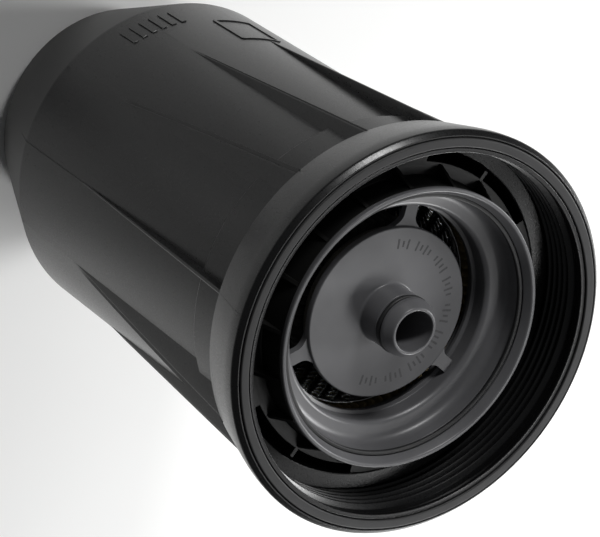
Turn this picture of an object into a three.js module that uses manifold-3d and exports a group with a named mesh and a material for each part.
// A large spin-on filter canister: a moulded shell with a threaded mouth, and inside it a pleated
// filter element that is pushed against the filter head by a coil spring.
// Millimetres, +Z up. The closed end stands on z = 0, the mouth faces up, and the axis is Z.

import * as THREE from 'three';
import { mergeVertices } from 'three/addons/utils/BufferGeometryUtils.js';
import Module from 'manifold-3d';

const wasm = await Module();
wasm.setup();

// Driving dimensions

const gap = 0.3;                  // clearance between pieces that touch
const roundSegments = 48;         // facets round the large pieces
const smallSegments = 32;         // facets round the small pieces

const mouthZ = 184;               // plane of the shell's open end
const collarRadius = 61;
const collarFrontRadius = 60.6;   // where the collar's taper ends, just behind the mouth
const collarFrontZ = mouthZ - 5;
const collarRearRadius = 57;
const bandRadius = 52.6;          // thicker band of the body, next to the collar
const bandTopZ = mouthZ - 19.5;   // rear face of the collar
const bandBottomZ = bandTopZ - 16;
const neckZ = bandBottomZ - 2;    // body ends here and slopes up to the band
const bodyRadius = 51;            // body next to the band
const bodyEndRadius = 50.3;       // body where the closed end's cone begins
const coneHeight = 40.3;          // height of the cone at the closed end
const footRadius = 29.4;          // flat face that the canister stands on
const footRounding = 8;
const wall = 3.2;

const threadPitch = 2.5;
const threadTurns = 4.75;
const threadMinorRadius = 53.6;
const threadMajorRadius = 55.2;
const threadTopZ = mouthZ - 3.2;
const ledgeZ = mouthZ - 17.8;     // step inside the shell, under the thread

// The shell is moulded in two halves that part along a plane through partingAngle. Its ribs all
// point the way the halves pull apart, so one flat wedge makes the two ribs at its ends.
const partingAngle = -68;
const ribStep = 30;               // degrees between ribs, measured where they start
const ribStartZ = 72;
const ribStartRadius = 50.4;
const ribStartWidth = 0.6;
const ribEndWidth = 1.4;

const gasketInner = 56.1;
const gasketOuter = 58.9;
const gasketDepth = 3.4;
const gasketProud = 0.4;

const plateTopZ = mouthZ - 16.6;  // flat plate of the upper end cap
const plateThickness = 2.4;
const capRadius = 45.5;
const capSkirt = 1.3;
const capSkirtBottomZ = 154;
const collarWallOuter = 42;       // upright wall of the upper end cap
const collarWallInner = 40.9;
const collarWallTopZ = mouthZ - 7;
const gussetCount = 18;
const gussetThickness = 1.1;
const plateRadius = 46.1;
const flangeRadius = 48.7;        // the plate is wider on two sides, with a gap and a tab between
const flangeSpan = 127;           // degrees
const flangeAngles = [-90, 90];
const tabAngles = [0, 180];

const funnelLipRadius = 42.3;
const funnelLipTopZ = mouthZ - 5;
const funnelBore = 38.9;
const funnelThroat = 32.7;
const funnelThroatTopZ = mouthZ - 16;
const funnelBottomZ = 158.5;
const sealGrooveTopZ = mouthZ - 7.6;
const sealGrooveHeight = 1.9;

const discRadius = 25.8;
const discTopZ = mouthZ - 17.7;
const discThickness = 2.2;
const armAngles = [-155, -35, 85];
const armWidth = 4;
const armReach = 32.3;
const armDrop = 1.2;
const nozzleRadius = 8.8;
const nozzleBore = 6.15;
const nozzleTipZ = mouthZ - 3.4;
const nozzleChamfer = 3.1;
const oRingZ = 175.3;
const oRingThickness = 1.7;
const oRingGroove = 1.8;          // depth of the groove in the nozzle

const tubeRadius = 32.2;          // perforated steel centre tube
const tubeWall = 0.8;
const tubeTopZ = 156;

const mediaInner = 33;
const mediaOuter = 43.6;
const mediaTopZ = 156.9;
const innerMediaInner = 13;
const innerMediaOuter = 24;
const coreRadius = 12.4;          // plastic cage inside the inner pleats
const coreWall = 1.4;

const lowerCapZ = 40;
const lowerCapThickness = 2.6;
const lowerCapSkirtTopZ = 53;
const seatRadius = 27;            // pressed steel seat on top of the spring
const seatThickness = 1.5;
const seatSkirtHeight = 4;
const springRadius = 19.5;
const springWire = 3.2;
const springTurns = 5;
const shellFloorZ = 3.6;

// Materials

const finish = (color, roughness, metalness = 0) =>
  new THREE.MeshStandardMaterial({ color, roughness, metalness });
const blackPlastic = finish(0x1b1b1c, 0.45);
const greyPlastic = finish(0x6c6c6e, 0.4);
const blackRubber = finish(0x121212, 0.7);
const brightSteel = finish(0xc4c6c8, 0.25, 1);
const springSteel = finish(0x8a8c90, 0.35, 1);
const filterPaper = finish(0xb9a878, 0.9);
const adhesive = finish(0x3a3a38, 0.6);
const whitePlastic = finish(0xd6d4cc, 0.5);

// Solids

const radians = (angle) => angle * Math.PI / 180;
const degrees = (angle) => angle * 180 / Math.PI;

function solid(geometry) {
  const bare = geometry.clone();
  bare.deleteAttribute('normal');
  bare.deleteAttribute('uv');
  const merged = mergeVertices(bare, 1e-4);
  const index = merged.index.array;
  const triVerts = [];
  for (let i = 0; i < index.length; i += 3) {
    const [a, b, c] = index.slice(i, i + 3);
    if (a !== b && b !== c && c !== a) triVerts.push(a, b, c);
  }
  return new wasm.Manifold(new wasm.Mesh({
    numProp: 3,
    vertProperties: new Float32Array(merged.attributes.position.array),
    triVerts: new Uint32Array(triVerts),
  }));
}

function geometryOf(body) {
  const mesh = body.getMesh();
  const geometry = new THREE.BufferGeometry();
  geometry.setAttribute('position', new THREE.BufferAttribute(mesh.vertProperties, 3));
  geometry.setIndex(new THREE.BufferAttribute(mesh.triVerts, 1));
  return geometry;
}

// A profile of [radius, z] points, turned about Z. It runs outwards, up, inwards and down.
function turned(profile, segments = roundSegments) {
  const onAxis = profile[0][0] === 0;
  const closed = onAxis ? profile : [...profile, profile[0]];
  const points = closed.map(([radius, z]) => new THREE.Vector2(radius, z));
  const geometry = new THREE.LatheGeometry(points, segments);
  geometry.rotateX(Math.PI / 2);
  return solid(geometry);
}

function ring(inner, outer, bottomZ, topZ, segments = roundSegments) {
  return turned([[inner, bottomZ], [outer, bottomZ], [outer, topZ], [inner, topZ]], segments);
}

// A flat shape of [radius, z] points, given a thickness and set upright in a radial plane.
function radialPlate(points, thickness, angle) {
  const shape = new THREE.Shape(points.map(([radius, z]) => new THREE.Vector2(radius, z)));
  const geometry = new THREE.ExtrudeGeometry(shape, { depth: thickness, bevelEnabled: false });
  geometry.translate(0, 0, -thickness / 2);
  geometry.rotateX(Math.PI / 2);
  geometry.rotateZ(radians(angle));
  return solid(geometry);
}

function block(width, depth, height, x, y, z, angle = 0) {
  const geometry = new THREE.BoxGeometry(width, depth, height);
  geometry.translate(x, y, z);
  geometry.rotateZ(radians(angle));
  return solid(geometry);
}

function joined(bodies) {
  return bodies.reduce((sum, body) => sum.add(body));
}

function cut(body, tools) {
  return tools.reduce((rest, tool) => rest.subtract(tool), body);
}

// An arc of [radius, z] points between two angles, in degrees.
function arc(centreRadius, centreZ, size, from, to, steps) {
  const points = [];
  for (let i = 0; i <= steps; i += 1) {
    const angle = radians(from + (to - from) * i / steps);
    points.push([centreRadius + size * Math.cos(angle), centreZ + size * Math.sin(angle)]);
  }
  return points;
}

// A helix about Z. Its frames keep one side of the section square to the axis.
class Helix extends THREE.Curve {
  constructor(radius, heightAt, turns) {
    super();
    this.radius = radius;
    this.heightAt = heightAt;
    this.turns = turns;
  }

  getPoint(t, target = new THREE.Vector3()) {
    const angle = 2 * Math.PI * this.turns * t;
    return target.set(this.radius * Math.cos(angle), this.radius * Math.sin(angle), this.heightAt(t));
  }

  getPointAt(t, target) {
    return this.getPoint(t, target);
  }

  computeFrenetFrames(segments) {
    const tangents = [];
    const normals = [];
    const binormals = [];
    for (let i = 0; i <= segments; i += 1) {
      const angle = 2 * Math.PI * this.turns * i / segments;
      tangents.push(new THREE.Vector3(-Math.sin(angle), Math.cos(angle), 0));
      normals.push(new THREE.Vector3(-Math.cos(angle), -Math.sin(angle), 0));
      binormals.push(new THREE.Vector3(0, 0, 1));
    }
    return { tangents, normals, binormals };
  }
}

function coiled(section, radius, heightAt, turns, stepsPerTurn) {
  const shape = new THREE.Shape(section.map(([inward, up]) => new THREE.Vector2(inward, up)));
  const path = new Helix(radius, heightAt, turns);
  const steps = Math.round(turns * stepsPerTurn);
  return solid(new THREE.ExtrudeGeometry(shape, { steps, extrudePath: path, bevelEnabled: false }));
}

// Shell

const crestRadiusAt = (z) =>
  ribStartRadius + (collarRearRadius - ribStartRadius) * (z - ribStartZ) / (bandTopZ - ribStartZ);

function shellOutside() {
  const coneSlope = Math.atan2(bodyEndRadius - footRadius - footRounding, coneHeight - footRounding);
  const foot = arc(footRadius, footRounding, footRounding, -90, -degrees(coneSlope), 3);
  return turned([
    [0, 0], ...foot,
    [bodyEndRadius, coneHeight], [bodyRadius, neckZ], [bandRadius, bandBottomZ], [bandRadius, bandTopZ],
    [collarRearRadius, bandTopZ], [collarFrontRadius, collarFrontZ], [collarRadius, mouthZ - 0.6],
    [collarRadius - 0.6, mouthZ], [0, mouthZ],
  ]);
}

function shellCavity() {
  return turned([
    [0, shellFloorZ], [footRadius, shellFloorZ], [footRadius + 5, footRounding],
    [bodyEndRadius - wall, coneHeight + 1], [bodyRadius - wall, neckZ], [bandRadius - wall, bandBottomZ],
    [bandRadius - wall, ledgeZ], [threadMajorRadius, ledgeZ + 1],
    [threadMajorRadius, threadTopZ + 0.4], [threadMinorRadius + 0.9, mouthZ],
    [threadMinorRadius + 0.9, mouthZ + 1], [0, mouthZ + 1],
  ]);
}

function gasketGroove() {
  return ring(gasketInner - gap, gasketOuter + gap, mouthZ - gasketDepth - gap, mouthZ + 1);
}

// A flat wedge right across the shell, at an offset from its middle plane, trimmed to the ribs' crests.
function ribPair(offset, envelope) {
  const topZ = bandTopZ + 1;
  const side = Math.sign(offset);
  const halves = (width) => [-width / 2 - side * width / 2, width / 2 - side * width / 2];
  const [startInner, startOuter] = halves(ribStartWidth);
  const [endInner, endOuter] = halves(ribEndWidth);
  const wedge = new THREE.Shape([
    new THREE.Vector2(offset + startInner, ribStartZ), new THREE.Vector2(offset + startOuter, ribStartZ),
    new THREE.Vector2(offset + endOuter, topZ), new THREE.Vector2(offset + endInner, topZ),
  ]);
  const geometry = new THREE.ExtrudeGeometry(wedge, { depth: 2 * collarRadius, bevelEnabled: false });
  geometry.translate(0, 0, -collarRadius);
  geometry.rotateX(Math.PI / 2);
  geometry.rotateZ(radians(partingAngle));
  return solid(geometry).intersect(envelope);
}

function shellRibs() {
  const topZ = bandTopZ + 1;
  const rootRadius = bodyEndRadius - 1.5;
  const envelope = turned([
    [rootRadius, ribStartZ], [ribStartRadius + 0.1, ribStartZ], [crestRadiusAt(topZ), topZ], [rootRadius, topZ],
  ], 2 * roundSegments);
  const pairs = [];
  for (let angle = ribStep; angle < 180; angle += ribStep) {
    const offset = ribStartRadius * Math.cos(radians(angle));
    pairs.push(ribPair(Math.abs(offset) < gap ? 0 : offset, envelope));
  }
  const acrossParting = ribPair(0, envelope).rotate([0, 0, 90]);
  return [...pairs, acrossParting];
}

function shellThread() {
  const depth = threadMajorRadius - threadMinorRadius;
  const half = threadPitch / 2;
  const flank = half - 0.2;
  const section = [[-0.6, -flank], [0, -flank], [depth, -0.3], [depth, 0.3], [0, flank], [-0.6, flank]];
  const bottomZ = threadTopZ - half - threadPitch * threadTurns;
  return coiled(section, threadMajorRadius, (t) => bottomZ + threadPitch * threadTurns * t, threadTurns, 24);
}

function springWell() {
  return ring(springRadius + 2.6, springRadius + 4.2, shellFloorZ - 0.5, shellFloorZ + 3, smallSegments);
}

function shell() {
  const hollow = cut(joined([shellOutside(), ...shellRibs()]), [shellCavity(), gasketGroove()]);
  return joined([hollow, shellThread(), springWell()]);
}

function rimGasket() {
  const bottomZ = mouthZ - gasketDepth;
  const topZ = mouthZ + gasketProud;
  return ring(gasketInner, gasketOuter, bottomZ, topZ);
}

// Element: caps, funnel and outlet

function capFlange(angle) {
  const half = radians(flangeSpan) / 2;
  const shape = new THREE.Shape();
  shape.absarc(0, 0, flangeRadius, -half, half, false);
  shape.absarc(0, 0, capRadius - 0.7, half, -half, true);
  const settings = { depth: plateThickness, bevelEnabled: false, curveSegments: 20 };
  const geometry = new THREE.ExtrudeGeometry(shape, settings);
  geometry.translate(0, 0, plateTopZ - plateThickness);
  geometry.rotateZ(radians(angle));
  return solid(geometry);
}

function upperEndCap() {
  const plateBottomZ = plateTopZ - plateThickness;
  const hole = funnelThroat + 1.3 + gap;
  const body = turned([
    [hole, plateBottomZ], [capRadius - capSkirt, plateBottomZ], [capRadius - capSkirt, capSkirtBottomZ],
    [capRadius, capSkirtBottomZ], [capRadius, plateBottomZ], [plateRadius, plateBottomZ],
    [plateRadius, plateTopZ], [collarWallOuter, plateTopZ],
    [collarWallOuter, collarWallTopZ], [collarWallInner, collarWallTopZ],
    [collarWallInner, plateTopZ], [hole, plateTopZ],
  ]);
  const gussetOutline = [
    [collarWallOuter - 0.5, plateTopZ - 0.5], [capRadius, plateTopZ - 0.5], [capRadius, plateTopZ],
    [collarWallOuter, collarWallTopZ - 0.4], [collarWallOuter - 0.5, collarWallTopZ - 0.4],
  ];
  const tabOutline = [
    [capRadius - 0.7, plateBottomZ], [flangeRadius, plateBottomZ],
    [flangeRadius, plateTopZ], [capRadius - 0.7, plateTopZ],
  ];
  const fins = [];
  for (let i = 0; i < gussetCount; i += 1) {
    fins.push(radialPlate(gussetOutline, gussetThickness, 360 * i / gussetCount));
  }
  const tabs = tabAngles.map((angle) => radialPlate(tabOutline, gussetThickness, angle));
  return joined([body, ...fins, ...tabs, ...flangeAngles.map(capFlange)]);
}

function outletFunnel() {
  const lipUnderZ = collarWallTopZ + gap;
  const outer = collarWallInner - gap;
  const throatOuter = funnelThroat + 1.3;
  const floorZ = plateTopZ + gap;
  const curve = arc(funnelBore - 3, funnelThroatTopZ + 3.4, 3, 0, -90, 3);
  const ledgeZ = discTopZ - armDrop - discThickness - gap;
  return turned([
    [funnelThroat, funnelBottomZ], [throatOuter, funnelBottomZ], [throatOuter, floorZ], [outer, floorZ],
    [outer, lipUnderZ], [funnelLipRadius, lipUnderZ], [funnelLipRadius, funnelLipTopZ - 0.4],
    [funnelLipRadius - 0.4, funnelLipTopZ], [funnelLipRadius - 0.9, funnelLipTopZ],
    [funnelBore + 0.4, sealGrooveTopZ], [outer - 0.6, sealGrooveTopZ],
    [outer - 0.6, sealGrooveTopZ - sealGrooveHeight], [funnelBore, sealGrooveTopZ - sealGrooveHeight],
    ...curve,
    [funnelThroat + 0.5, funnelThroatTopZ + 0.3], [funnelThroat, funnelThroatTopZ - 0.2],
    [funnelThroat, ledgeZ], [funnelThroat - 1.1, ledgeZ - 0.4], [funnelThroat - 1.1, ledgeZ - 1.6],
    [funnelThroat, ledgeZ - 2.7],
  ]);
}

function funnelSeal() {
  const outer = collarWallInner - gap - 0.6 - gap;
  const topZ = sealGrooveTopZ - gap;
  const bottomZ = sealGrooveTopZ - sealGrooveHeight + gap;
  return ring(funnelBore - 0.5, outer, bottomZ, topZ);
}

function outletArm(angle) {
  const topZ = discTopZ - armDrop;
  const shape = new THREE.Shape();
  const root = discRadius - 1.6;
  const flare = armWidth;
  shape.moveTo(root, -flare);
  shape.quadraticCurveTo(discRadius + 0.8, -armWidth / 2, discRadius + 3.2, -armWidth / 2);
  shape.lineTo(armReach, -armWidth / 2);
  shape.lineTo(armReach, armWidth / 2);
  shape.lineTo(discRadius + 3.2, armWidth / 2);
  shape.quadraticCurveTo(discRadius + 0.8, armWidth / 2, root, flare);
  const settings = { depth: discThickness, bevelEnabled: false, curveSegments: 4 };
  const geometry = new THREE.ExtrudeGeometry(shape, settings);
  geometry.translate(0, 0, topZ - discThickness);
  geometry.rotateZ(radians(angle));
  return solid(geometry);
}

function outletSpider() {
  const discBottomZ = discTopZ - discThickness;
  const grooveRadius = nozzleRadius - oRingGroove;
  const grooveTopZ = oRingZ + oRingThickness / 2 + gap;
  const grooveBottomZ = oRingZ - oRingThickness / 2 - gap;
  const body = turned([
    [nozzleBore, discBottomZ - 4], [nozzleBore + 1.6, discBottomZ - 4], [nozzleBore + 1.6, discBottomZ],
    [discRadius, discBottomZ], [discRadius, discTopZ - 0.4], [discRadius - 0.4, discTopZ],
    [nozzleRadius + 1.4, discTopZ], [nozzleRadius, discTopZ + 1.4],
    [nozzleRadius, grooveBottomZ], [grooveRadius, grooveBottomZ], [grooveRadius, grooveTopZ],
    [nozzleRadius, grooveTopZ], [nozzleRadius, nozzleTipZ - nozzleChamfer],
    [nozzleBore + 0.9, nozzleTipZ], [nozzleBore, nozzleTipZ],
  ], smallSegments);
  return joined([body, ...armAngles.map(outletArm)]);
}

function nozzleORing() {
  const half = oRingThickness / 2;
  const centre = nozzleRadius - oRingGroove + gap + half;
  return turned(arc(centre, oRingZ, half, 0, 300, 5), smallSegments);
}

// Element: pleats, tube and cages

function pleats(inner, outer, pleatCount, foldDepth, bottomZ, topZ) {
  const zigzag = (low, high) => {
    const points = [];
    for (let i = 0; i < 2 * pleatCount; i += 1) {
      const radius = i % 2 === 0 ? high : low;
      const angle = Math.PI * i / pleatCount;
      points.push(new THREE.Vector2(radius * Math.cos(angle), radius * Math.sin(angle)));
    }
    return points;
  };
  const shape = new THREE.Shape(zigzag(outer - foldDepth, outer));
  shape.holes.push(new THREE.Path(zigzag(inner, inner + foldDepth)));
  const geometry = new THREE.ExtrudeGeometry(shape, { depth: topZ - bottomZ, bevelEnabled: false });
  geometry.translate(0, 0, bottomZ);
  return solid(geometry);
}

// Windows through a tube, in rows that step round by half a pitch from one row to the next.
function windowed(tube, outer, columns, rows, width, height, firstZ, rowPitch) {
  const tools = [];
  for (let row = 0; row < rows; row += 1) {
    for (let column = 0; column < columns; column += 1) {
      const angle = 360 * (column + (row % 2) / 2) / columns;
      tools.push(block(outer, width, height, outer, 0, firstZ + row * rowPitch, angle));
    }
  }
  return cut(tube, tools);
}

function centreTube() {
  const bottomZ = lowerCapZ + lowerCapThickness + gap;
  const tube = ring(tubeRadius - tubeWall, tubeRadius, bottomZ, tubeTopZ, smallSegments);
  return windowed(tube, tubeRadius, 8, 7, 4, 8, bottomZ + 11, 15);
}

function innerCore() {
  const bottomZ = lowerCapZ + lowerCapThickness + 6;
  const topZ = discTopZ - discThickness - 5;
  const tube = ring(coreRadius - coreWall, coreRadius, bottomZ, topZ, 24);
  return windowed(tube, coreRadius, 4, 5, 4, 12, bottomZ + 14, 20);
}

function innerUpperPotting() {
  const topZ = discTopZ - discThickness - gap;
  return ring(innerMediaInner, innerMediaOuter, topZ - 4, topZ, smallSegments);
}

function innerMedia() {
  const bottomZ = lowerCapZ + lowerCapThickness + 6;
  const topZ = discTopZ - discThickness - 4 - 2 * gap;
  return pleats(innerMediaInner, innerMediaOuter, 30, 3, bottomZ, topZ);
}

function innerLowerCap() {
  const bottomZ = lowerCapZ + lowerCapThickness + gap;
  const topZ = lowerCapZ + lowerCapThickness + 6 - gap;
  return turned([
    [0, bottomZ], [innerMediaOuter + 1, bottomZ], [innerMediaOuter + 1, topZ], [0, topZ],
  ], smallSegments);
}

function outerMedia() {
  return pleats(mediaInner, mediaOuter, 48, 3.4, lowerCapZ + lowerCapThickness + 4 + 2 * gap, mediaTopZ);
}

function upperPotting() {
  const inner = funnelThroat + 1.3 + gap;
  const topZ = plateTopZ - plateThickness - gap;
  return ring(inner, capRadius - capSkirt - gap, mediaTopZ + gap, topZ);
}

function lowerPotting() {
  const bottomZ = lowerCapZ + lowerCapThickness + gap;
  return ring(tubeRadius + gap, capRadius - capSkirt - gap, bottomZ, bottomZ + 4);
}

function pleatBand(z) {
  return ring(mediaOuter + gap, mediaOuter + gap + 1, z - 1.5, z + 1.5, smallSegments);
}

function lowerEndCap() {
  const topZ = lowerCapZ + lowerCapThickness;
  return turned([
    [0, lowerCapZ], [capRadius - 0.8, lowerCapZ], [capRadius, lowerCapZ + 0.8], [capRadius, lowerCapSkirtTopZ],
    [capRadius - capSkirt, lowerCapSkirtTopZ], [capRadius - capSkirt, topZ], [0, topZ],
  ]);
}

// Spring and its seat

function springSeat() {
  const topZ = lowerCapZ - gap;
  const underZ = topZ - seatThickness;
  const skirtZ = underZ - seatSkirtHeight;
  return turned([
    [0, underZ], [seatRadius - seatThickness, underZ], [seatRadius - seatThickness, skirtZ],
    [seatRadius + 2.5, skirtZ], [seatRadius + 2.5, skirtZ + seatThickness], [seatRadius, skirtZ + seatThickness],
    [seatRadius, topZ], [0, topZ],
  ], smallSegments);
}

// The end turns lie almost flat, so the spring stands square.
function coilSpring() {
  const bottomZ = shellFloorZ + gap + springWire / 2;
  const topZ = lowerCapZ - gap - seatThickness - gap - springWire / 2;
  const flatShare = 0.8 / springTurns;
  const flatRise = springWire * 0.85;
  const heightAt = (t) => {
    if (t < flatShare) return bottomZ + flatRise * t / flatShare;
    if (t > 1 - flatShare) return topZ - flatRise * (1 - t) / flatShare;
    const middle = (t - flatShare) / (1 - 2 * flatShare);
    return bottomZ + flatRise + (topZ - bottomZ - 2 * flatRise) * middle;
  };
  const section = arc(0, 0, springWire / 2, 0, 300, 5);
  return coiled(section, springRadius, heightAt, springTurns, 20);
}

// Assembly

const canister = new THREE.Group();
const element = new THREE.Group();

function addPiece(group, name, body, material) {
  const mesh = new THREE.Mesh(geometryOf(body), material);
  mesh.name = name;
  group.add(mesh);
}

addPiece(canister, 'shell', shell(), blackPlastic);
addPiece(canister, 'rim_gasket', rimGasket(), blackRubber);
addPiece(canister, 'coil_spring', coilSpring(), springSteel);
addPiece(canister, 'spring_seat', springSeat(), brightSteel);

addPiece(element, 'upper_end_cap', upperEndCap(), blackPlastic);
addPiece(element, 'outlet_funnel', outletFunnel(), greyPlastic);
addPiece(element, 'funnel_seal', funnelSeal(), blackRubber);
addPiece(element, 'outlet_spider', outletSpider(), greyPlastic);
addPiece(element, 'nozzle_o_ring', nozzleORing(), blackRubber);
addPiece(element, 'outer_media', outerMedia(), filterPaper);
addPiece(element, 'upper_potting', upperPotting(), adhesive);
addPiece(element, 'lower_potting', lowerPotting(), adhesive);
addPiece(element, 'centre_tube', centreTube(), brightSteel);
addPiece(element, 'inner_media', innerMedia(), filterPaper);
addPiece(element, 'inner_core', innerCore(), whitePlastic);
addPiece(element, 'inner_potting', innerUpperPotting(), adhesive);
addPiece(element, 'inner_lower_cap', innerLowerCap(), whitePlastic);
addPiece(element, 'lower_end_cap', lowerEndCap(), blackPlastic);
[75, 100, 125].forEach((z, i) => addPiece(element, `pleat_band_${i + 1}`, pleatBand(z), adhesive));

canister.add(element);

export default canister;
